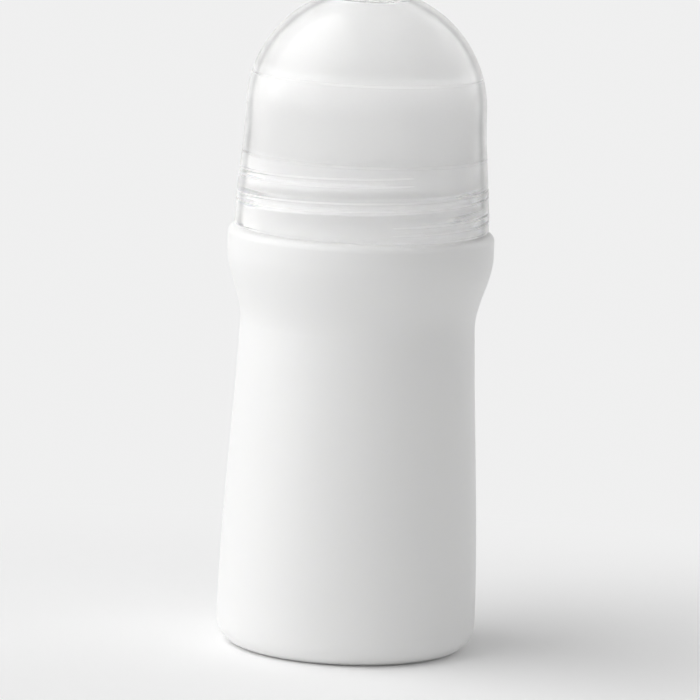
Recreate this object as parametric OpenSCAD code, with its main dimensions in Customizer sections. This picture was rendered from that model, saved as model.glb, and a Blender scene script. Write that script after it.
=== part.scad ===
// Roll-on bottle, standing upright with its axis on +Z and its foot ring at z = 0.
// A blow-moulded bottle carries a ball housing pressed into its neck.
// The housing holds a hollow ball that is welded from two halves.
// A clear domed cap screws down over the ball and stops just above the collar.
// All lengths are in millimetres.

/* [Ball] */
// Diameter of the ball, a standard size of 1.40 inch
ball_d = 35.56; // [33:0.02:38]
// Wall of the hollow ball
ball_wall = 1.6; // [1.2:0.1:3]
// Depth of the stepped weld joint between the two halves
ball_step = 1.2; // [0.8:0.1:2]

/* [Ball housing] */
// Running gap between the ball and its socket
socket_gap = 0.1; // [0.06:0.01:0.2]
// Wall of the housing round the ball
housing_wall = 0.8; // [0.6:0.05:1.2]
// Height of the ball's centre above the neck
ball_rise = 7.4; // [6.8:0.1:9]
// Height of the socket's lip above the ball's centre
lip_rise = 6.8; // [5:0.1:8]
// Height of the bevel that leads up to the lip
bevel_h = 1.2; // [0.6:0.1:2]
// Width of the flat on top of the lip
lip_flat = 0.25; // [0.15:0.05:0.4]
// How far the housing stands out over the neck
flange_over = 0.3; // [0.1:0.05:0.5]
// How far the plug reaches down into the neck
plug_depth = 8; // [6:0.5:10]
// Wall of the plug
plug_wall = 1; // [0.8:0.05:1.3]
// Gap between the plug and the neck's bore
plug_gap = 0.1; // [0.05:0.01:0.2]
// How far each sealing bead presses into the neck's bore
bead_press = 0.04; // [0.01:0.01:0.08]
// Height of each sealing bead
bead_h = 1; // [0.6:0.1:1.4]
// Number of sealing beads round the plug
bead_count = 2; // [1:1:2]
// Diameter of the feed opening below the ball
feed_d = 18; // [10:0.5:22]
// Number of feed grooves in the socket
groove_count = 6; // [3:1:8]
// Width of each feed groove
groove_w = 1.6; // [0.8:0.1:2.4]
// Depth of each feed groove
groove_depth = 0.4; // [0.2:0.05:0.5]

/* [Bottle] */
// Height from the table to the top of the neck
bottle_h = 83; // [76:0.5:100]
// Wall of the bottle
bottle_wall = 1.1; // [0.8:0.05:1.6]
// Wall of the neck
neck_wall = 1.1; // [0.9:0.05:1.5]
// Height of the neck above the collar
neck_h = 12.75; // [11:0.25:16]
// How far the collar stands out past the cap's rim
collar_over = 1.05; // [0.6:0.05:2]
// Height of the straight band round the collar
collar_h = 2.5; // [1.5:0.1:5]
// Rounding of the collar's top edge
collar_round = 1.25; // [1.15:0.05:1.6]
// Height of the curve from the collar down to the waist
shoulder_h = 12; // [8:0.5:18]
// Diameter at the waist
waist_d = 39.15; // [37:0.05:43]
// Largest diameter, just above the base
base_d = 43.4; // [41:0.1:48]
// Rounding of the base edge
base_round = 4; // [2.5:0.1:6]
// Width of the foot ring
foot_w = 1.6; // [1:0.1:3]
// Rise of the hollow under the base
push_up = 2.6; // [1.5:0.1:5]

/* [Cap] */
// Wall of the cap
cap_wall = 1; // [0.8:0.05:1.5]
// Gap between the cap and the ball housing
cap_gap = 0.3; // [0.25:0.05:0.6]
// How far the skirt widens from the dome to the rim
cap_flare = 1.17; // [0.6:0.01:2]
// Rounding of the rim
rim_round = 0.35; // [0.2:0.05:0.39]
// Gap between the rim and the collar
rim_gap = 0.25; // [0.2:0.05:0.6]
// Diameter of the pressure ring inside the dome
press_d = 13; // [8:0.5:18]
// Wall of the pressure ring
press_wall = 0.8; // [0.6:0.1:1.2]
// Gap between the pressure ring and the ball
press_gap = 0.3; // [0.25:0.05:0.5]

/* [Hidden] */
$fn = 96;

// How steeply the side leaves the waist, where 1 is a straight line to the base
waist_slope_share = 0.785;
// How steeply the cap's skirt still widens at its rim
rim_slope_share = 0.2;
// How steeply the hollow under the base rises from the foot ring
push_slope_share = 1.5;

arc_steps = 8;
dome_steps = 24;
side_steps = 14;
shoulder_steps = 14;
skirt_steps = 10;
base_steps = 8;

// Length by which every cut runs past the face it opens
overrun = 1;
// Gap in the weld joint of the ball
weld_gap = 0.05;
// Bevel on the neck's top edges
neck_edge = 0.25;
// Fillet at the root of the neck
root_round = 0.4;
// Lead-in bevel at the foot of the plug
plug_lead = 0.5;

ball_r = ball_d / 2;
ball_in_r = ball_r - ball_wall;
ball_joint_r = ball_r - ball_wall / 2;
ball_z = bottle_h + ball_rise;

socket_r = ball_r + socket_gap;
housing_r = socket_r + housing_wall;
edge_rise = lip_rise - bevel_h;
lip_r = sqrt(socket_r * socket_r - lip_rise * lip_rise);
feed_r = feed_d / 2;

neck_r = housing_r - flange_over;
bore_r = neck_r - neck_wall;
plug_r = bore_r - plug_gap;
plug_in_r = plug_r - plug_wall;
plug_foot_z = bottle_h - plug_depth;
bead_r = bore_r + bead_press;
bead_pitch = (plug_depth - plug_lead) / (bead_count + 1);

dome_r = housing_r + cap_gap + cap_wall;
dome_in_r = dome_r - cap_wall;
rim_r = dome_r + cap_flare;
ledge_z = bottle_h - neck_h;
rim_z = ledge_z + rim_gap;
press_r = press_d / 2;

collar_r = rim_r + collar_over;
collar_top_z = ledge_z - collar_round;
collar_low_z = collar_top_z - collar_h;
waist_r = waist_d / 2;
waist_z = collar_low_z - shoulder_h;
base_r = base_d / 2;
foot_out_r = base_r - base_round;
foot_in_r = foot_out_r - foot_w;

// A smooth curve from a to b. Its slope at each end is a share of the straight line's.
function blend(a, b, start, finish, t) =
    let (t2 = t * t, t3 = t2 * t)
    a + (b - a) * (start * (t3 - 2 * t2 + t) + 3 * t2 - 2 * t3 + finish * (t3 - t2));

function arc(x, y, r, from, to, steps) =
    [for (i = [0:steps]) let (a = from + (to - from) * i / steps) [x + r * cos(a), y + r * sin(a)]];

function backwards(points) = [for (i = [len(points) - 1:-1:0]) points[i]];

// Height at which a sphere round the ball's centre has the radius r
function sphere_z(sphere_r, r) = sqrt(sphere_r * sphere_r - r * r);

// The hollow under the base, from the axis out to the foot ring
function push_points(lift) =
    [for (i = [0:base_steps])
        let (t = i / base_steps)
        [foot_in_r * t, blend(push_up, 0, 0, push_slope_share, t) + lift]];

// The side from the base rounding up to the waist
function side_points(inset) =
    [for (i = [1:side_steps])
        let (t = i / side_steps)
        [blend(base_r, waist_r, 0, waist_slope_share, t) - inset,
         base_round + (waist_z - base_round) * t]];

// The curve from the waist up to the collar
function shoulder_points(inset) =
    [for (i = [1:shoulder_steps])
        let (t = i / shoulder_steps)
        [blend(waist_r, collar_r, 0, 0, t) - inset, waist_z + shoulder_h * t]];

// One wall of the bottle, from the axis under the base up to the ledge below the neck
function body_points(inset) = concat(
    push_points(inset),
    arc(foot_out_r, base_round, base_round - inset, -90, 0, arc_steps),
    side_points(inset),
    shoulder_points(inset),
    arc(collar_r - collar_round, collar_top_z, collar_round - inset, 0, 90, arc_steps));

function neck_points() = concat(
    backwards(arc(neck_r + root_round, ledge_z + root_round, root_round, 180, 270, arc_steps)),
    [[neck_r, bottle_h - neck_edge],
     [neck_r - neck_edge, bottle_h],
     [bore_r + neck_edge, bottle_h],
     [bore_r, bottle_h - neck_edge],
     [bore_r, ledge_z - bottle_wall]]);

module bottle() {
    color("white")
        rotate_extrude()
            polygon(concat(body_points(0), neck_points(), backwards(body_points(bottle_wall))));
}

// The skirt of the cap, from the dome down to the rim
function skirt_points(inset, low_z) =
    [for (i = [1:skirt_steps])
        let (t = i / skirt_steps)
        [blend(dome_r, rim_r, 0, rim_slope_share, t) - inset, ball_z + (low_z - ball_z) * t]];

// The pressure ring, from its inner foot to its outer foot on the dome
function press_points() =
    let (
        in_r = press_r - press_wall,
        low_z = ball_z + sphere_z(ball_r + press_gap, in_r),
        mid_r = press_r - press_wall / 2)
    [[in_r, ball_z + sphere_z(dome_in_r, in_r)],
     [in_r, low_z + press_wall / 2],
     [mid_r, low_z],
     [press_r, low_z + press_wall / 2],
     [press_r, ball_z + sphere_z(dome_in_r, press_r)]];

// The inside of the dome, from the axis to the skirt, with the pressure ring on it
function dome_inside() =
    let (
        in_a = acos((press_r - press_wall) / dome_in_r),
        out_a = acos(press_r / dome_in_r))
    concat(
        [for (i = [0:arc_steps - 1])
            let (a = 90 + (in_a - 90) * i / arc_steps)
            [dome_in_r * cos(a), ball_z + dome_in_r * sin(a)]],
        press_points(),
        [for (i = [1:dome_steps])
            let (a = out_a * (1 - i / dome_steps))
            [dome_in_r * cos(a), ball_z + dome_in_r * sin(a)]]);

module cap() {
    rim_edge_z = rim_z + rim_round;
    color("lightcyan", 0.45)
        rotate_extrude()
            polygon(concat(
                arc(0, ball_z, dome_r, 90, 0, dome_steps),
                skirt_points(0, rim_edge_z),
                [[rim_r - rim_round, rim_z], [rim_r - cap_wall + rim_round, rim_z]],
                backwards(skirt_points(cap_wall, rim_edge_z)),
                backwards(dome_inside())));
}

// The plug's outside, from its foot up to the neck, with the sealing beads on it
function plug_points() = concat(
    [[plug_in_r, plug_foot_z],
     [plug_r - plug_lead, plug_foot_z],
     [plug_r, plug_foot_z + plug_lead]],
    [for (i = [1:bead_count], step = [-1:1])
        [step == 0 ? bead_r : plug_r,
         plug_foot_z + plug_lead + i * bead_pitch + step * bead_h / 2]],
    [[plug_r, bottle_h]]);

// The housing's section, filled in to the feed opening. The socket is cut from it as a true sphere.
function housing_points() =
    let (
        bowl_r = socket_r + plug_wall,
        bowl_a = -acos(plug_in_r / bowl_r),
        feed_a = -acos(feed_r / bowl_r),
        edge_a = asin(edge_rise / housing_r))
    concat(
        arc(0, ball_z, bowl_r, feed_a, bowl_a, arc_steps),
        plug_points(),
        [[housing_r, bottle_h]],
        arc(0, ball_z, housing_r, 0, edge_a, arc_steps),
        [[lip_r + lip_flat, ball_z + lip_rise],
         [feed_r, ball_z + lip_rise]]);

// Grooves that carry the product from the feed opening up under the ball
module feed_grooves() {
    low_z = ball_z - socket_r;
    intersection() {
        translate([0, 0, ball_z])
            sphere(socket_r + groove_depth);
        for (i = [0:groove_count - 1])
            rotate(i * 360 / groove_count)
                translate([feed_r - overrun, -groove_w / 2, low_z])
                    cube([bore_r - feed_r, groove_w, bottle_h - low_z]);
    }
}

module ball_housing() {
    color("whitesmoke")
        difference() {
            rotate_extrude()
                polygon(housing_points());
            translate([0, 0, ball_z])
                sphere(socket_r);
            feed_grooves();
        }
}

module ball_shell() {
    difference() {
        sphere(ball_r);
        sphere(ball_in_r);
    }
}

// The lower half of the ball, with the inner step of the weld joint standing up from it
module ball_lower_half() {
    color("white")
        translate([0, 0, ball_z])
            intersection() {
                ball_shell();
                union() {
                    translate([0, 0, -ball_r - overrun])
                        cylinder(r = ball_r + overrun, h = ball_r + overrun);
                    translate([0, 0, -overrun])
                        cylinder(r = ball_joint_r - weld_gap, h = ball_step + overrun);
                }
            }
}

// The upper half of the ball, recessed for the step of the lower half
module ball_upper_half() {
    color("white")
        translate([0, 0, ball_z])
            difference() {
                intersection() {
                    ball_shell();
                    cylinder(r = ball_r + overrun, h = ball_r + overrun);
                }
                translate([0, 0, -overrun])
                    cylinder(r = ball_joint_r, h = ball_step + weld_gap + overrun);
            }
}

bottle();
ball_housing();
ball_lower_half();
ball_upper_half();
cap();
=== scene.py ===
"""Roll-on bottle: a satin white bottle, a ball in its housing, and a clear domed screw cap."""

import math

import bpy
from mathutils import Matrix, Vector


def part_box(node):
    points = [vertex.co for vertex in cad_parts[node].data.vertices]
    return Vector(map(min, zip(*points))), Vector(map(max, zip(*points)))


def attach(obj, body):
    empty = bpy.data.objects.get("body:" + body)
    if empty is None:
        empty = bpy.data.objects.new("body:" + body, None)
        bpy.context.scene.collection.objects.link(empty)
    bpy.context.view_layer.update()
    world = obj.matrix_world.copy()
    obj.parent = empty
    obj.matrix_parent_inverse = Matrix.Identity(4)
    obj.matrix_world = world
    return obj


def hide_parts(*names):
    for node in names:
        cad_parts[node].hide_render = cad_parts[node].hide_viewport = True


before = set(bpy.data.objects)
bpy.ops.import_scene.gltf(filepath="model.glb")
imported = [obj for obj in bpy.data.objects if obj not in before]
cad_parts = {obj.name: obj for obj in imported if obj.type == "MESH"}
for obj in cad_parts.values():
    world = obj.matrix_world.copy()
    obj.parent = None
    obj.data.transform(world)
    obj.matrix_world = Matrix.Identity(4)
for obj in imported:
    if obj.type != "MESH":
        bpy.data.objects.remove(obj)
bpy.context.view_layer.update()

MM = 0.001

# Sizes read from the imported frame, in millimetres
bottle_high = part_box("bottle")[1]
housing_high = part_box("ball_housing")[1]
ball_low, ball_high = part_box("ball_upper_half")
cap_low, cap_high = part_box("cap")

COLLAR_R = bottle_high[0] / MM
NECK_TOP_Z = bottle_high[2] / MM
HOUSING_R = housing_high[0] / MM
LIP_Z = housing_high[2] / MM
BALL_R = ball_high[0] / MM
BALL_Z = ball_low[2] / MM
RIM_R = cap_high[0] / MM
RIM_Z = cap_low[2] / MM
DOME_R = cap_high[2] / MM - BALL_Z

# Sizes that the frame's boxes don't show, in millimetres, as in the solids
BOTTLE_WALL = 1.1
NECK_WALL = 1.1
NECK_ROOT = 0.4
COLLAR_ROUND = 1.25
COLLAR_BAND = 2.5
SHOULDER_H = 12.0
WAIST_R = 19.575
BASE_R = 21.7
BASE_ROUND = 4.0
FOOT_W = 1.6
PUSH_UP = 2.6
FLANGE_OVER = 0.3
PLUG_DEPTH = 8.0
PLUG_GAP = 0.1
PLUG_WALL = 1.0
PLUG_LEAD = 0.5
FEED_R = 9.0
SOCKET_GAP = 0.1
BEVEL_H = 1.2
LIP_FLAT = 0.25
CAP_WALL = 1.0
RIM_GAP = 0.25
RIM_ROUND = 0.35
PRESS_R = 6.5
PRESS_WALL = 0.8
PRESS_GAP = 0.3

# Sizes and places worked out from them
NECK_R = HOUSING_R - FLANGE_OVER
BORE_R = NECK_R - NECK_WALL
LEDGE_Z = RIM_Z - RIM_GAP
COLLAR_TOP_Z = LEDGE_Z - COLLAR_ROUND
COLLAR_LOW_Z = COLLAR_TOP_Z - COLLAR_BAND
WAIST_Z = COLLAR_LOW_Z - SHOULDER_H
FOOT_OUT_R = BASE_R - BASE_ROUND
FOOT_IN_R = FOOT_OUT_R - FOOT_W
LIP_RISE = LIP_Z - BALL_Z
SKIRT_FOOT_Z = RIM_Z + RIM_ROUND

# Slopes at one end of a curve, as shares of the straight line's
WAIST_SLOPE = 0.785
RIM_SLOPE = 0.2
PUSH_SLOPE = 1.5

# Screw threads: lengths in millimetres, and the degrees over which a thread's ends rise
THREAD_PITCH = 4.0
THREAD_FADE = 30
THREAD_MARGIN = 0.05
RIDGE_ROUND = 0.05

# The share of the pitch that half a ridge can take, and the shares of its parts that have points
HALF_RIDGE_SHARE = 0.45
ROUND_SHARES = (-1.0, -0.5, 0.0, 0.5, 1.0)
SIDE_SHARES = (0.35, 0.5, 0.65)
GAP_SHARES = (0.25, 0.5, 0.75, 1.0)

# A radius below this is on the axis
AXIS_R = 1e-6


def blend(a, b, start, finish, t):
    """A smooth curve from a to b, with its slope at each end as a share of the straight line's."""
    t2 = t * t
    t3 = t2 * t
    return a + (b - a) * (start * (t3 - 2 * t2 + t) + 3 * t2 - 2 * t3 + finish * (t3 - t2))


def arc(x, y, r, start, end, steps):
    """Points on a circle of radius r round (x, y), with its angles in degrees."""
    points = []
    for i in range(steps + 1):
        a = math.radians(start + (end - start) * i / steps)
        points.append((x + r * math.cos(a), y + r * math.sin(a)))
    return points


def even_angles(count):
    return [2 * math.pi * i / count for i in range(count)]


def smooth_step(t):
    t = min(max(t, 0.0), 1.0)
    return t * t * (3 - 2 * t)


def soft_ramp(x):
    """0 below zero and x above it, rounded where they meet."""
    if x < -RIDGE_ROUND:
        return 0.0
    if x < RIDGE_ROUND:
        return (x + RIDGE_ROUND) ** 2 / (4 * RIDGE_ROUND)
    return x


def ridge_height(off, height, flat, run):
    """Height of a ridge at a distance from its middle line, with a flat half crest and sloping sides."""
    rise = (flat + height * run - abs(off)) / run
    return soft_ramp(rise) - soft_ramp(rise - height)


def ridge_steps(height, flat, run):
    """Distances from a ridge's middle line at which its shape needs a point."""
    crest = [abs(flat + RIDGE_ROUND * run * share) for share in ROUND_SHARES]
    side = [flat + height * run * share for share in SIDE_SHARES]
    root = [flat + height * run + RIDGE_ROUND * run * share for share in ROUND_SHARES]
    return sorted([flat / 2] + crest + side + root)


class Thread:
    """A right-hand screw ridge between two rings of a lathe piece.

    wall(z) is the radius of the plain wall and crest(z) the radius that the ridge's top reaches, both in
    millimetres. first_z is the height of its middle at the angle start, where its first turn begins.
    flat is half the width of its crest and run the width of a side per height. frost is the finish of
    the wall and of the crest, and side_frost the finish of the ridge's sides.
    """

    def __init__(self, wall, crest, first_z, start, turns, flat, run, frost=0.0, side_frost=0.0):
        self.wall = wall
        self.crest = crest
        self.first_z = first_z
        self.start = start
        self.turns = turns
        self.flat = flat
        self.run = run
        self.frost = frost
        self.side_frost = side_frost
        self.per_turn = len(self.offsets(0.0))

    def offsets(self, height):
        """Distances of one turn's points from its middle line, from the turn below up to the turn above."""
        steps = ridge_steps(height, self.flat, self.run)
        gap = THREAD_PITCH / 2 - steps[-1]
        steps += [steps[-1] + gap * share for share in GAP_SHARES]
        return [-d for d in reversed(steps[:-1])] + [0.0] + steps

    def column(self, a, low, high):
        """Radius, height and frost of the wall's points at angle a between two heights, by grid line."""
        points = {}
        turn = (a - self.start) / (2 * math.pi)
        first = math.floor((low - self.first_z) / THREAD_PITCH - turn) - 1
        last = math.ceil((high - self.first_z) / THREAD_PITCH - turn) + 1
        for lap in range(first, last + 1):
            along = turn + lap
            middle = self.first_z + THREAD_PITCH * along
            deep = abs(self.wall(middle) - self.crest(middle))
            height = min(deep, (HALF_RIDGE_SHARE * THREAD_PITCH - self.flat) / self.run)
            ends = smooth_step(min(along, self.turns - along) * 360 / THREAD_FADE)
            for n, off in enumerate(self.offsets(height)):
                z = middle + off
                if low + THREAD_MARGIN < z < high - THREAD_MARGIN:
                    plain = self.wall(z)
                    share = ridge_height(off, height, self.flat, self.run) / height
                    r = plain + (self.crest(z) - plain) * share * ends
                    side = math.sqrt(max(4 * share * (1 - share), 0.0)) * ends
                    frost = self.frost + (self.side_frost - self.frost) * side
                    points[lap * self.per_turn + n] = (r, z, frost)
        return points


class Surface:
    """Points, finishes and faces of a lathe piece."""

    def __init__(self):
        self.verts = []
        self.frosts = []
        self.faces = []

    def add(self, r, a, z, frost):
        """Adds a point at radius r, angle a and height z, in millimetres, and gives its number."""
        self.verts.append((r * MM * math.cos(a), r * MM * math.sin(a), z * MM))
        self.frosts.append(frost)
        return len(self.verts) - 1

    def join(self, low, high):
        """Adds the faces between two rings, where a ring of one point is on the axis."""
        count = max(len(low), len(high))
        for i in range(count):
            j = (i + 1) % count
            if len(low) == 1:
                self.faces.append((low[0], high[j], high[i]))
            elif len(high) == 1:
                self.faces.append((low[i], low[j], high[0]))
            else:
                self.faces.append((low[i], low[j], high[j], high[i]))

    def join_by_thread(self, angles, low_ring, high_ring, heights, thread, inside):
        """Joins two rings by a wall that carries a thread, on a grid that follows the thread."""
        columns = []
        for a in angles:
            points = thread.column(a, *heights)
            columns.append({n: self.add(r, a, z, frost) for n, (r, z, frost) in points.items()})
        for i, left in enumerate(columns):
            j = (i + 1) % len(angles)
            # Round at the first angle again, a grid line's number is one turn lower
            shift = thread.per_turn if j == 0 else 0
            right = {n - shift: v for n, v in columns[j].items()}
            up = sorted(right)
            down = sorted(left, reverse=True)
            both = sorted(set(left) & set(right))
            found = [(left[n], right[n], right[n + 1], left[n + 1]) for n in both[:-1]]
            foot = [low_ring[i], low_ring[j]] + [right[n] for n in up if n <= both[0]]
            foot += [left[n] for n in down if n <= both[0]]
            top = [high_ring[j], high_ring[i]] + [left[n] for n in down if n >= both[-1]]
            top += [right[n] for n in up if n >= both[-1]]
            found += [foot, top]
            self.faces.extend(tuple(reversed(f)) if inside else tuple(f) for f in found)

    def make_piece(self, name, material):
        mesh = bpy.data.meshes.new(name)
        mesh.from_pydata(self.verts, [], self.faces)
        mesh.update()
        mesh.shade_smooth()
        mesh.materials.append(material)
        if any(self.frosts):
            mesh.attributes.new("frost", "FLOAT", "POINT").data.foreach_set("value", self.frosts)
        piece = bpy.data.objects.new(name, mesh)
        bpy.context.scene.collection.objects.link(piece)
        return piece


def turned(name, path, angles, material, swell=None):
    """A closed lathe piece from a loop of (r, z) or (r, z, frost), with a Thread between two points.

    A loop that starts off the axis is closed by joining its ends. swell(k, a, r, z) is what point k gains
    in radius at angle a.
    """
    surface = Surface()
    rings = []
    for k, place in enumerate(path):
        if isinstance(place, Thread):
            rings.append(place)
            continue
        r, z = place[:2]
        frost = place[2] if len(place) > 2 else 0.0
        if r < AXIS_R:
            rings.append([surface.add(0.0, 0.0, z, frost)])
        elif swell:
            rings.append([surface.add(r + swell(k, a, r, z), a, z, frost) for a in angles])
        else:
            rings.append([surface.add(r, a, z, frost) for a in angles])
    pairs = list(zip(rings, rings[1:]))
    if len(rings[0]) > 1:
        pairs.append((rings[-1], rings[0]))
    for low, high in pairs:
        if not isinstance(low, Thread) and not isinstance(high, Thread):
            surface.join(low, high)
    for k, place in enumerate(path):
        if isinstance(place, Thread):
            low, high = sorted((k - 1, k + 1), key=lambda end: path[end][1])
            heights = (path[low][1], path[high][1])
            surface.join_by_thread(angles, rings[low], rings[high], heights, place, low > high)
    return surface.make_piece(name, material)


# Bottle
NECK_EDGE = 0.08
NECK_PLAIN = 0.3
NECK_CREST_R = 19.2
NECK_THREAD_Z = 74.15
NECK_START = math.radians(-150)
NECK_TURNS = 1.9
NECK_FLAT = 0.2
NECK_RUN = 0.9
SEAM_ANGLE = math.radians(12)
SEAM_HEIGHT = 0.035
SEAM_HALF = 0.16
SEAM_STEP = SEAM_HALF / 3
SEAM_STEPS = 6

# Steps along the push-up, along each curve of the side and round each rounding
OUTER_STEPS = (12, 34, 12)
INNER_STEPS = (8, 18, 6)
ROOT_STEPS = 8
BOTTLE_ANGLES = 288


def wall_points(inset, push_steps, side_steps, arc_steps):
    """The wall of the bottle from the axis under the base up to the ledge below the neck."""
    points = []
    for i in range(push_steps + 1):
        t = i / push_steps
        points.append((FOOT_IN_R * t, blend(PUSH_UP, 0, 0, PUSH_SLOPE, t) + inset))
    points += arc(FOOT_OUT_R, BASE_ROUND, BASE_ROUND - inset, -90, 0, arc_steps)
    for i in range(1, side_steps + 1):
        t = i / side_steps
        r = blend(BASE_R, WAIST_R, 0, WAIST_SLOPE, t) - inset
        points.append((r, BASE_ROUND + (WAIST_Z - BASE_ROUND) * t))
    for i in range(1, side_steps + 1):
        t = i / side_steps
        points.append((blend(WAIST_R, COLLAR_R, 0, 0, t) - inset, WAIST_Z + SHOULDER_H * t))
    points += arc(COLLAR_R - COLLAR_ROUND, COLLAR_TOP_Z, COLLAR_ROUND - inset, 0, 90, arc_steps)
    return points


def make_bottle(material):
    outer = wall_points(0.0, *OUTER_STEPS)
    inner = wall_points(BOTTLE_WALL, *INNER_STEPS)
    thread = Thread(
        lambda z: NECK_R, lambda z: NECK_CREST_R, NECK_THREAD_Z, NECK_START, NECK_TURNS, NECK_FLAT, NECK_RUN
    )
    neck = arc(NECK_R + NECK_ROOT, LEDGE_Z + NECK_ROOT, NECK_ROOT, 270, 180, ROOT_STEPS)
    neck += [(NECK_R, LEDGE_Z + NECK_ROOT + NECK_PLAIN), thread, (NECK_R, NECK_TOP_Z - NECK_EDGE)]
    neck += [(NECK_R - NECK_EDGE, NECK_TOP_Z), (BORE_R + NECK_EDGE, NECK_TOP_Z)]
    neck += [(BORE_R, NECK_TOP_Z - NECK_EDGE), (BORE_R, LEDGE_Z - BOTTLE_WALL)]
    seams = (SEAM_ANGLE, SEAM_ANGLE + math.pi)

    def parting_line(k, a, r, z):
        """Sinks the outer wall above the foot by the parting line's height, but not on the line."""
        if k >= len(outer):
            return 0.0
        off = min(abs(math.remainder(a - seam, 2 * math.pi)) for seam in seams) * r
        return -SEAM_HEIGHT * smooth_step(off / SEAM_HALF) * smooth_step(z / BASE_ROUND)

    angles = set(even_angles(BOTTLE_ANGLES))
    for seam in seams:
        for i in range(-SEAM_STEPS, SEAM_STEPS + 1):
            angles.add((seam + i * SEAM_STEP / BASE_R) % (2 * math.pi))
    return turned("bottle_moulding", outer + neck + inner[::-1], sorted(angles), material, parting_line)


# Housing: its side has a point more, this far below the ball's middle
SIDE_POINT = 3.0
BOWL_WALL = 1.0
FLANGE_EDGE = 0.1
BOWL_STEPS = 20
SIDE_STEPS = 24
SOCKET_STEPS = 60
HOUSING_ANGLES = 256


def make_housing(material):
    socket_r = BALL_R + SOCKET_GAP
    bowl_r = socket_r + BOWL_WALL
    plug_r = BORE_R - PLUG_GAP
    plug_in_r = plug_r - PLUG_WALL
    plug_foot_z = NECK_TOP_Z - PLUG_DEPTH
    lip_r = math.sqrt(socket_r ** 2 - LIP_RISE ** 2)
    feed_a = -math.degrees(math.acos(FEED_R / bowl_r))
    bowl_a = -math.degrees(math.acos(plug_in_r / bowl_r))
    edge_a = math.degrees(math.asin((LIP_RISE - BEVEL_H) / HOUSING_R))
    lip_a = math.degrees(math.asin(LIP_RISE / socket_r))
    seat_a = -math.degrees(math.acos(FEED_R / socket_r))
    path = arc(0, BALL_Z, bowl_r, feed_a, bowl_a, BOWL_STEPS)
    path += [(plug_in_r, plug_foot_z), (plug_r - PLUG_LEAD, plug_foot_z)]
    path += [(plug_r, plug_foot_z + PLUG_LEAD), (plug_r, NECK_TOP_Z)]
    path += [(HOUSING_R - FLANGE_EDGE, NECK_TOP_Z), (HOUSING_R, NECK_TOP_Z + FLANGE_EDGE)]
    path += [(HOUSING_R, BALL_Z - SIDE_POINT)]
    path += arc(0, BALL_Z, HOUSING_R, 0, edge_a, SIDE_STEPS)
    path += [(lip_r + LIP_FLAT, LIP_Z), (lip_r, LIP_Z)]
    path += arc(0, BALL_Z, socket_r, lip_a, seat_a, SOCKET_STEPS)[1:]
    return turned("housing_moulding", path, even_angles(HOUSING_ANGLES), material)


# Cap
CAP_CREST_R = 19.46
CAP_THREAD_Z = 72.55
CAP_START = math.radians(-80)
CAP_TURNS = 2.05
CAP_FLAT = 0.2
CAP_RUN = 2.2
THREAD_TOP_Z = 82.9
THREAD_RELIEF = 0.08
RELIEF_RUN = 0.2

# The fine raised lines, whitened as painted highlights: across the dome, above the thread and along it
DOME_LINE_Z = 96.1
TOP_LINE_Z = 82.95
WITNESS_TOP_Z = 82.6
WITNESS_HEIGHT = 0.03
WITNESS_FLAT = 0.6
WITNESS_RUN = 2.6

# Finishes: 0 is polished, 1 frosted and 2 whitened, which paints the fine lines' highlights
WALL_FROST = 0.7
FROSTED = 1.0
HIGHLIGHT_WHITE = 2.0

# Steps from the dome's top down the outside, round the rim and up the inside
DOME_STEPS = 60
SKIRT_STEPS = 16
RIM_STEPS = 6
WALL_STEPS = 10
INNER_DOME_STEPS = 44
PRESS_STEPS = 8
TOP_STEPS = 16
CAP_ANGLES = 224


def skirt_r(z):
    """Radius of the cap's outer wall below the dome."""
    return blend(DOME_R, RIM_R, 0, RIM_SLOPE, (BALL_Z - z) / (BALL_Z - SKIRT_FOOT_Z))


def witness_r(z):
    """Radius that the fine lines along the thread reach."""
    return skirt_r(z) + WITNESS_HEIGHT


def threaded_r(z):
    """Radius of the cap's inner wall between the turns of its thread."""
    return skirt_r(z) - CAP_WALL + THREAD_RELIEF


def line_steps(middle):
    """Places along a wall at which one of the mould's fine lines needs a point."""
    steps = ridge_steps(WITNESS_HEIGHT, 0.0, WITNESS_RUN)
    return {middle + side * d for side in (-1, 1) for d in steps} | {middle}


def line_at(off):
    """Height and finish of a fine line at a distance from its middle; the finish whitens it as a painted
    highlight.
    """
    height = ridge_height(off, WITNESS_HEIGHT, 0.0, WITNESS_RUN)
    return height, HIGHLIGHT_WHITE * height / WITNESS_HEIGHT


def cap_outside():
    """The outer wall from the dome's top to the rim, with its fine lines, whitened as painted highlights.
    """
    witness = Thread(
        skirt_r, witness_r, CAP_THREAD_Z, CAP_START, CAP_TURNS, WITNESS_FLAT, WITNESS_RUN, 0.0, HIGHLIGHT_WHITE
    )
    points = [(0.0, BALL_Z + DOME_R)]
    middle = math.asin((DOME_LINE_Z - BALL_Z) / DOME_R) * DOME_R
    ways = {math.pi / 2 * DOME_R * i / DOME_STEPS for i in range(DOME_STEPS)}
    for way in sorted(ways | line_steps(middle), reverse=True):
        height, finish = line_at(way - middle)
        r = DOME_R + height
        points.append((r * math.cos(way / DOME_R), BALL_Z + r * math.sin(way / DOME_R), finish))
    heights = {BALL_Z + (WITNESS_TOP_Z - BALL_Z) * i / SKIRT_STEPS for i in range(1, SKIRT_STEPS + 1)}
    for z in sorted(heights | line_steps(TOP_LINE_Z), reverse=True):
        height, finish = line_at(z - TOP_LINE_Z)
        points.append((skirt_r(z) + height, z, finish))
    points += [witness, (skirt_r(SKIRT_FOOT_Z), SKIRT_FOOT_Z)]
    return points + arc(RIM_R - RIM_ROUND, SKIRT_FOOT_Z, RIM_ROUND, 0, -90, RIM_STEPS)[1:]


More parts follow.
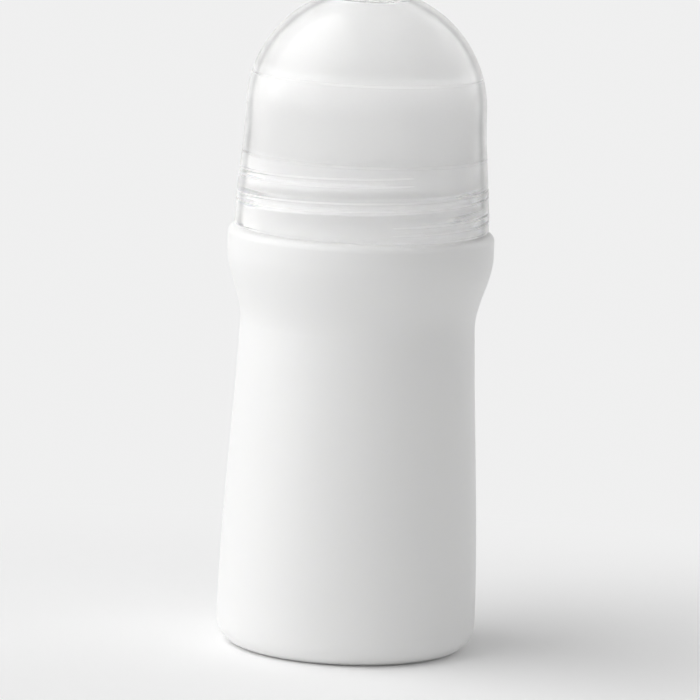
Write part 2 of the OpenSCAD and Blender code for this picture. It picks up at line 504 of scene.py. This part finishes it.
def cap_skirt_inside():
    """The inner wall from the rim to the dome's foot, with the thread."""
    thread = Thread(
        threaded_r, lambda z: CAP_CREST_R, CAP_THREAD_Z, CAP_START, CAP_TURNS, CAP_FLAT, CAP_RUN,
        FROSTED, FROSTED
    )
    rim = arc(RIM_R - CAP_WALL + RIM_ROUND, SKIRT_FOOT_Z, RIM_ROUND, -90, -180, RIM_STEPS)[:-1]
    points = [(r, z, FROSTED) for r, z in rim]
    points += [(threaded_r(SKIRT_FOOT_Z), SKIRT_FOOT_Z, FROSTED), thread]
    points += [(threaded_r(THREAD_TOP_Z), THREAD_TOP_Z, FROSTED)]
    foot_z = THREAD_TOP_Z + RELIEF_RUN
    for i in range(WALL_STEPS):
        z = foot_z + (BALL_Z - foot_z) * i / WALL_STEPS
        points.append((skirt_r(z) - CAP_WALL, z, WALL_FROST))
    return points


def cap_dome_inside():
    """The inner wall from the dome's foot to its top, with the pressure ring."""
    inner_r = DOME_R - CAP_WALL
    press_in = PRESS_R - PRESS_WALL
    half = PRESS_WALL / 2
    out_a = math.degrees(math.acos(PRESS_R / inner_r))
    in_a = math.degrees(math.acos(press_in / inner_r))
    press_z = BALL_Z + math.sqrt((BALL_R + PRESS_GAP) ** 2 - press_in ** 2)
    dome = arc(0, BALL_Z, inner_r, 0, out_a, INNER_DOME_STEPS)
    dome += arc(press_in + half, press_z + half, half, 0, -180, PRESS_STEPS)
    dome += arc(0, BALL_Z, inner_r, in_a, 90, TOP_STEPS)[:-1] + [(0.0, BALL_Z + inner_r)]
    return [(r, z, FROSTED) for r, z in dome]


def make_cap(material):
    path = cap_outside() + cap_skirt_inside() + cap_dome_inside()
    return turned("cap_moulding", path[::-1], even_angles(CAP_ANGLES), material)


# Materials
BOTTLE_WHITE = (0.9, 0.9, 0.895, 1)
HOUSING_WHITE = (0.93, 0.93, 0.925, 1)
BALL_WHITE = (0.8, 0.8, 0.795, 1)
SCATTER_REACH = (0.002, 0.002, 0.0018)
BOTTLE_SCATTER = 0.15
BALL_SCATTER = 0.1
BOTTLE_IOR = 1.52
INNER_GLOSS = 0.2
GRAIN_LOW = 0.3
GRAIN_HIGH = 0.7

# The cap's plastic, with the places of the painted shade along its outline from 0, seen square on, to 1,
# seen along the wall
CAP_IOR = 1.49
CAP_GLOSS = 0.5
FROSTED_ROUGH = 1.0
CAP_CLEAR = 0.92
# How clear the whitened lines stay: little, so they show as painted highlights
CAP_HIGHLIGHT_LINE_CLEAR = 0.2
CAP_SHADOW = 0.91
CAP_EDGE_SHADE = 0.52
EDGE_START = 0.62
EDGE_SHADE_DARKEST = 0.7
EDGE_END = 0.79


def grey(value):
    return (value, value, value, 1)


def new_material(name):
    material = bpy.data.materials.new(name)
    material.use_nodes = True
    nodes = material.node_tree.nodes
    shader = nodes["Principled BSDF"]
    return material, nodes, material.node_tree.links, shader


def add_grain(nodes, links, shader, scale, detail, strength, distance):
    """Bumps a surface by a fine noise, and gives the noise."""
    coords = nodes.new("ShaderNodeTexCoord")
    noise = nodes.new("ShaderNodeTexNoise")
    noise.inputs["Scale"].default_value = scale
    noise.inputs["Detail"].default_value = detail
    bump = nodes.new("ShaderNodeBump")
    bump.inputs["Strength"].default_value = strength
    bump.inputs["Distance"].default_value = distance
    links.new(coords.outputs["Object"], noise.inputs["Vector"])
    links.new(noise.outputs["Fac"], bump.inputs["Height"])
    links.new(bump.outputs["Normal"], shader.inputs["Normal"])
    return noise.outputs["Fac"]


def vary(nodes, links, grain, target, low, high):
    """Varies an input between two values with the noise."""
    ramp = nodes.new("ShaderNodeMapRange")
    ramp.inputs["From Min"].default_value = GRAIN_LOW
    ramp.inputs["From Max"].default_value = GRAIN_HIGH
    ramp.inputs["To Min"].default_value = low
    ramp.inputs["To Max"].default_value = high
    links.new(grain, ramp.inputs["Value"])
    links.new(ramp.outputs["Result"], target)


def bottle_plastic():
    material, nodes, links, shader = new_material("bottle_plastic")
    shader.inputs["Base Color"].default_value = BOTTLE_WHITE
    shader.inputs["IOR"].default_value = BOTTLE_IOR
    shader.inputs["Subsurface Weight"].default_value = BOTTLE_SCATTER
    shader.inputs["Subsurface Radius"].default_value = SCATTER_REACH
    grain = add_grain(nodes, links, shader, scale=900.0, detail=3.0, strength=0.12, distance=0.0001)
    vary(nodes, links, grain, shader.inputs["Roughness"], low=0.4, high=0.48)
    return material


def housing_plastic():
    material, nodes, links, shader = new_material("housing_plastic")
    shader.inputs["Base Color"].default_value = HOUSING_WHITE
    shader.inputs["Specular IOR Level"].default_value = INNER_GLOSS
    grain = add_grain(nodes, links, shader, scale=700.0, detail=2.0, strength=0.05, distance=0.0001)
    vary(nodes, links, grain, shader.inputs["Roughness"], low=0.3, high=0.36)
    return material


def ball_plastic():
    material, nodes, links, shader = new_material("ball_plastic")
    shader.inputs["Base Color"].default_value = BALL_WHITE
    shader.inputs["Specular IOR Level"].default_value = INNER_GLOSS
    shader.inputs["Subsurface Weight"].default_value = BALL_SCATTER
    shader.inputs["Subsurface Radius"].default_value = SCATTER_REACH
    grain = add_grain(nodes, links, shader, scale=500.0, detail=2.0, strength=0.03, distance=0.0001)
    vary(nodes, links, grain, shader.inputs["Roughness"], low=0.3, high=0.36)
    return material


def cap_finish(nodes, links, shader, grain):
    """Makes the plastic polished, frosted or whitened, as the mesh's attribute says; the whitening paints
    highlights on the fine lines.
    """
    frost = nodes.new("ShaderNodeAttribute")
    frost.attribute_name = "frost"
    rough = nodes.new("ShaderNodeMix")
    rough.inputs["B"].default_value = FROSTED_ROUGH
    vary(nodes, links, grain, rough.inputs["A"], low=0.17, high=0.21)
    clear = nodes.new("ShaderNodeMapRange")
    clear.inputs["From Min"].default_value = FROSTED
    clear.inputs["From Max"].default_value = HIGHLIGHT_WHITE
    clear.inputs["To Min"].default_value = CAP_CLEAR
    clear.inputs["To Max"].default_value = CAP_HIGHLIGHT_LINE_CLEAR
    links.new(frost.outputs["Fac"], rough.inputs["Factor"])
    links.new(rough.outputs["Result"], shader.inputs["Roughness"])
    links.new(frost.outputs["Fac"], clear.inputs["Value"])
    links.new(clear.outputs["Result"], shader.inputs["Transmission Weight"])


def cap_painted_edge_shade(nodes, links, shader):
    """Paints shade into the cap's colour: a darker band just inside its outline, where its wall is seen at
    a slant.
    """
    slant = nodes.new("ShaderNodeLayerWeight")
    painted_shade = nodes.new("ShaderNodeValToRGB")
    band = painted_shade.color_ramp
    band.interpolation = "EASE"
    band.elements[0].position = EDGE_START
    band.elements[0].color = grey(1)
    band.elements[1].position = EDGE_END
    band.elements.new(EDGE_SHADE_DARKEST).color = grey(CAP_EDGE_SHADE)
    links.new(slant.outputs["Facing"], painted_shade.inputs["Fac"])
    links.new(painted_shade.outputs["Color"], shader.inputs["Base Color"])


def cap_shadow(nodes, links, shader):
    """Lets shadow rays through the cap, dimmed at each face of its walls."""
    clear = nodes.new("ShaderNodeBsdfTransparent")
    clear.inputs["Color"].default_value = grey(CAP_SHADOW)
    path = nodes.new("ShaderNodeLightPath")
    mix = nodes.new("ShaderNodeMixShader")
    links.new(path.outputs["Is Shadow Ray"], mix.inputs["Fac"])
    links.new(shader.outputs["BSDF"], mix.inputs[1])
    links.new(clear.outputs["BSDF"], mix.inputs[2])
    links.new(mix.outputs["Shader"], nodes["Material Output"].inputs["Surface"])


def cap_plastic():
    """Clear plastic, polished outside and finely frosted inside, with fine lines whitened as painted
    highlights and a painted shade band along its outline.
    """
    material, nodes, links, shader = new_material("cap_plastic")
    shader.inputs["IOR"].default_value = CAP_IOR
    shader.inputs["Specular Tint"].default_value = grey(CAP_GLOSS)
    grain = add_grain(nodes, links, shader, scale=120.0, detail=2.0, strength=0.02, distance=0.0002)
    cap_finish(nodes, links, shader, grain)
    # Painted shade: a darker band in the cap's colour along its outline
    cap_painted_edge_shade(nodes, links, shader)
    cap_shadow(nodes, links, shader)
    return material


# Stage: lengths in metres
BACKDROP = 0.868
AMBIENT = 0.275
FLOOR_HALF = 6.0
FLOOR_WHITE = 0.98
FLOOR_ROUGH = 0.9
FLOOR_GLOSS = 0.1
FLOOR_GLOW = 0.035
FADE_START = 0.05
FADE_END = 0.25
FADE_DEPTH = 2.1

# Lamps: name, azimuth and elevation in degrees, distance, width, height and power
LAMPS = (
    ("key", -79, 40, 1.4, 1.9, 2.0, 20.2),
    ("front", -30, 30, 1.4, 1.0, 1.0, 1.1),
    ("right", 80, 9, 1.4, 0.6, 0.7, 1.0),
    ("rim", 130, 22, 1.3, 0.8, 0.8, 1.9),
    ("top", 0, 88, 1.3, 1.0, 1.0, 0.6),
)
LAMP_AIM = (0.0, 0.0, 0.06)


def seen_ray(nodes, links):
    """1 for a ray that shows a surface to the camera, straight or by gloss or glass, and else 0."""
    path = nodes.new("ShaderNodeLightPath")
    total = path.outputs["Is Camera Ray"]
    for name in ("Is Glossy Ray", "Is Transmission Ray"):
        add = nodes.new("ShaderNodeMath")
        add.operation = "ADD"
        add.use_clamp = True
        links.new(total, add.inputs[0])
        links.new(path.outputs[name], add.inputs[1])
        total = add.outputs["Value"]
    return total


def floor_fade(nodes, links):
    """0 round the bottle and 1 far from it, sooner along the camera's way than across it."""
    coords = nodes.new("ShaderNodeTexCoord")
    stretch = nodes.new("ShaderNodeVectorMath")
    stretch.operation = "MULTIPLY"
    stretch.inputs[1].default_value = (1.0, FADE_DEPTH, 1.0)
    length = nodes.new("ShaderNodeVectorMath")
    length.operation = "LENGTH"
    fade = nodes.new("ShaderNodeMapRange")
    fade.interpolation_type = "SMOOTHSTEP"
    fade.inputs["From Min"].default_value = FADE_START
    fade.inputs["From Max"].default_value = FADE_END
    links.new(coords.outputs["Object"], stretch.inputs[0])
    links.new(stretch.outputs["Vector"], length.inputs[0])
    links.new(length.outputs["Value"], fade.inputs["Value"])
    return fade.outputs["Result"]


def floor_material():
    """A white floor that is lifted a little and fades into the backdrop, both only where it is seen."""
    material, nodes, links, shader = new_material("stage_floor")
    shader.inputs["Base Color"].default_value = grey(FLOOR_WHITE)
    shader.inputs["Emission Color"].default_value = grey(1)
    shader.inputs["Roughness"].default_value = FLOOR_ROUGH
    shader.inputs["Specular IOR Level"].default_value = FLOOR_GLOSS
    seen = seen_ray(nodes, links)
    lift = nodes.new("ShaderNodeMath")
    lift.operation = "MULTIPLY"
    lift.inputs[1].default_value = FLOOR_GLOW
    backdrop = nodes.new("ShaderNodeEmission")
    backdrop.inputs["Color"].default_value = grey(BACKDROP)
    both = nodes.new("ShaderNodeMath")
    both.operation = "MULTIPLY"
    mix = nodes.new("ShaderNodeMixShader")
    links.new(seen, lift.inputs[0])
    links.new(lift.outputs["Value"], shader.inputs["Emission Strength"])
    links.new(floor_fade(nodes, links), both.inputs[0])
    links.new(seen, both.inputs[1])
    links.new(both.outputs["Value"], mix.inputs["Fac"])
    links.new(shader.outputs["BSDF"], mix.inputs[1])
    links.new(backdrop.outputs["Emission"], mix.inputs[2])
    links.new(mix.outputs["Shader"], nodes["Material Output"].inputs["Surface"])
    return material


def make_floor():
    low, high = -FLOOR_HALF, FLOOR_HALF
    mesh = bpy.data.meshes.new("stage_floor")
    corners = [(low, low, 0), (high, low, 0), (high, high, 0), (low, high, 0)]
    mesh.from_pydata(corners, [], [(0, 1, 2, 3)])
    mesh.materials.append(floor_material())
    floor = bpy.data.objects.new("stage_floor", mesh)
    bpy.context.scene.collection.objects.link(floor)


def area_light(name, azimuth, elevation, distance, width, height, power):
    """A soft box seen from the bottle at azimuth (0 towards the camera, 90 to the right)."""
    data = bpy.data.lights.new(name, "AREA")
    data.shape = "RECTANGLE"
    data.size = width
    data.size_y = height
    data.energy = power
    light = bpy.data.objects.new(name, data)
    light.visible_transmission = False
    az = math.radians(azimuth)
    el = math.radians(elevation)
    way = Vector((math.sin(az) * math.cos(el), -math.cos(az) * math.cos(el), math.sin(el)))
    light.location = Vector(LAMP_AIM) + way * distance
    light.rotation_euler = way.to_track_quat("Z", "Y").to_euler()
    bpy.context.scene.collection.objects.link(light)


def make_world():
    """A world that lights the bottle by AMBIENT and shows itself as BACKDROP."""
    world = bpy.data.worlds.new("studio")
    world.use_nodes = True
    nodes = world.node_tree.nodes
    links = world.node_tree.links
    lit = nodes["Background"]
    lit.inputs["Color"].default_value = grey(1)
    lit.inputs["Strength"].default_value = AMBIENT
    shown = nodes.new("ShaderNodeBackground")
    shown.inputs["Color"].default_value = grey(1)
    shown.inputs["Strength"].default_value = BACKDROP
    mix = nodes.new("ShaderNodeMixShader")
    links.new(seen_ray(nodes, links), mix.inputs["Fac"])
    links.new(lit.outputs["Background"], mix.inputs[1])
    links.new(shown.outputs["Background"], mix.inputs[2])
    links.new(mix.outputs["Shader"], nodes["World Output"].inputs["Surface"])
    bpy.context.scene.world = world


# Camera: lengths in metres, angles in degrees, and the sensor in millimetres
CAMERA_DISTANCE = 1.0
CAMERA_ELEVATION = 9.0
CAMERA_ROLL = 2.35
CAMERA_AIM = (-0.00108, 0.0, 0.04975)
FOCAL_PIXELS = 6000.0
IMAGE_PIXELS = 700.0
SENSOR = 36.0
CLIP_START = 0.05
CLIP_END = 50.0


def make_camera():
    el = math.radians(CAMERA_ELEVATION)
    roll = math.radians(CAMERA_ROLL)
    back = Vector((0, -math.cos(el), math.sin(el)))
    right = Vector((1, 0, 0))
    up = back.cross(right)
    leaned_right = right * math.cos(roll) + up * math.sin(roll)
    leaned_up = up * math.cos(roll) - right * math.sin(roll)
    data = bpy.data.cameras.new("camera")
    data.sensor_width = SENSOR
    data.lens = FOCAL_PIXELS * SENSOR / IMAGE_PIXELS
    data.clip_start = CLIP_START
    data.clip_end = CLIP_END
    camera = bpy.data.objects.new("camera", data)
    turn = Matrix((leaned_right, leaned_up, back)).transposed().to_4x4()
    place = Matrix.Translation(Vector(CAMERA_AIM) + back * CAMERA_DISTANCE)
    camera.matrix_world = place @ turn
    bpy.context.scene.collection.objects.link(camera)
    bpy.context.scene.camera = camera


make_camera()
make_floor()
for lamp in LAMPS:
    area_light(*lamp)
make_world()

bottle = make_bottle(bottle_plastic())
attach(bottle, "bottle")
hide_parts("bottle")

housing = make_housing(housing_plastic())
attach(housing, "bottle")
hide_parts("ball_housing")

ball_material = ball_plastic()
for node in ("ball_lower_half", "ball_upper_half"):
    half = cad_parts[node]
    half.data.materials.clear()
    half.data.materials.append(ball_material)
    half.data.shade_smooth()

cap = make_cap(cap_plastic())
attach(cap, "cap")
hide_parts("cap")

bpy.context.scene.view_settings.view_transform = "Standard"
